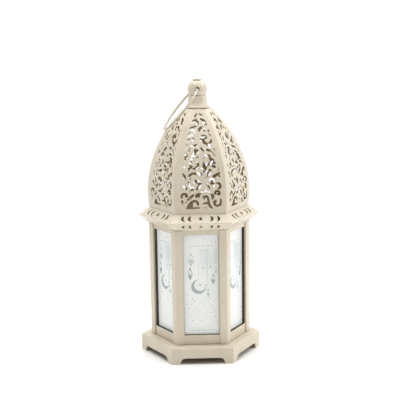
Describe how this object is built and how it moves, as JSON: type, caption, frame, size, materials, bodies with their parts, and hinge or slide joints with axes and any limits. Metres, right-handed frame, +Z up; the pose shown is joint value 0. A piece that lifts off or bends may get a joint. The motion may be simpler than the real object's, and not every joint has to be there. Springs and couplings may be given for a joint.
{
  "type": "moroccan lantern",
  "caption": "Six-sided metal lantern with frosted windows, a pierced pointed dome, a ball finial with a loose ring and a hinged back door.",
  "frame": {"origin": "centre of the plinth's footprint, on the plane it stands on", "axes": "+Z up the lantern's axis; -Y out of the front window; +Y out of the door; the resting ring leans towards -X"},
  "size_m": [0.132, 0.1144, 0.3],
  "materials": {
    "cream_paint": "satin cream enamel",
    "painted_wire": "satin cream enamel",
    "frosted_glass": "frosted, with a pale silver printed ornament",
    "glazing_seal": "matt, near black",
    "plated_steel": "dull zinc"
  },
  "bodies": {
    "housing": {"base_plinth": "cream_paint", "candle_cup": "cream_paint", "post_right": "cream_paint", "post_back_right": "cream_paint", "post_back_left": "cream_paint", "post_left": "cream_paint", "post_front_left": "cream_paint", "post_front_right": "cream_paint", "window_frame_front": "cream_paint", "window_frame_front_right": "cream_paint", "window_frame_back_right": "cream_paint", "window_frame_back_left": "cream_paint", "window_frame_front_left": "cream_paint", "door_surround": "cream_paint", "pane_front": "frosted_glass", "pane_front_right": "frosted_glass", "pane_back_right": "frosted_glass", "pane_back_left": "frosted_glass", "pane_front_left": "frosted_glass", "glazing_strip_front": "glazing_seal", "glazing_strip_front_right": "glazing_seal", "glazing_strip_back_right": "glazing_seal", "glazing_strip_back_left": "glazing_seal", "glazing_strip_front_left": "glazing_seal", "roof_eave": "cream_paint", "dome_panel_front": "cream_paint", "dome_panel_front_right": "cream_paint", "dome_panel_back_right": "cream_paint", "dome_panel_back": "cream_paint", "dome_panel_back_left": "cream_paint", "dome_panel_front_left": "cream_paint", "dome_plate": "cream_paint", "finial_bell": "cream_paint", "finial_ball": "cream_paint", "finial_button": "cream_paint", "finial_stud": "plated_steel", "finial_nut": "plated_steel", "hinge_fixed_leaves": "cream_paint", "hinge_pins": "plated_steel", "latch_rivet": "plated_steel"},
    "door": {"door_frame": "cream_paint", "door_pane": "frosted_glass", "door_glazing_strip": "glazing_seal", "door_hinge_leaves": "cream_paint", "door_knob": "cream_paint"},
    "latch": {"latch_button": "cream_paint"},
    "ring": {"ring_handle": "painted_wire"}
  },
  "joints": [
    {"name": "door_hinge", "type": "hinge", "parent": "housing", "child": "door", "pos_m": [0.0284, 0.04919, 0.08], "axis": [0, 0, -1], "range_deg": [0, 120]},
    {"name": "latch_pivot", "type": "hinge", "parent": "housing", "child": "latch", "pos_m": [-0.0244, 0.0486, 0.08135], "axis": [0, 1, 0], "range_deg": [0, 90]},
    {"name": "ring_pivot", "type": "hinge", "parent": "housing", "child": "ring", "pos_m": [0, 0, 0.2894], "axis": [0, 1, 0], "range_deg": [0, 280.4]}
  ]
}
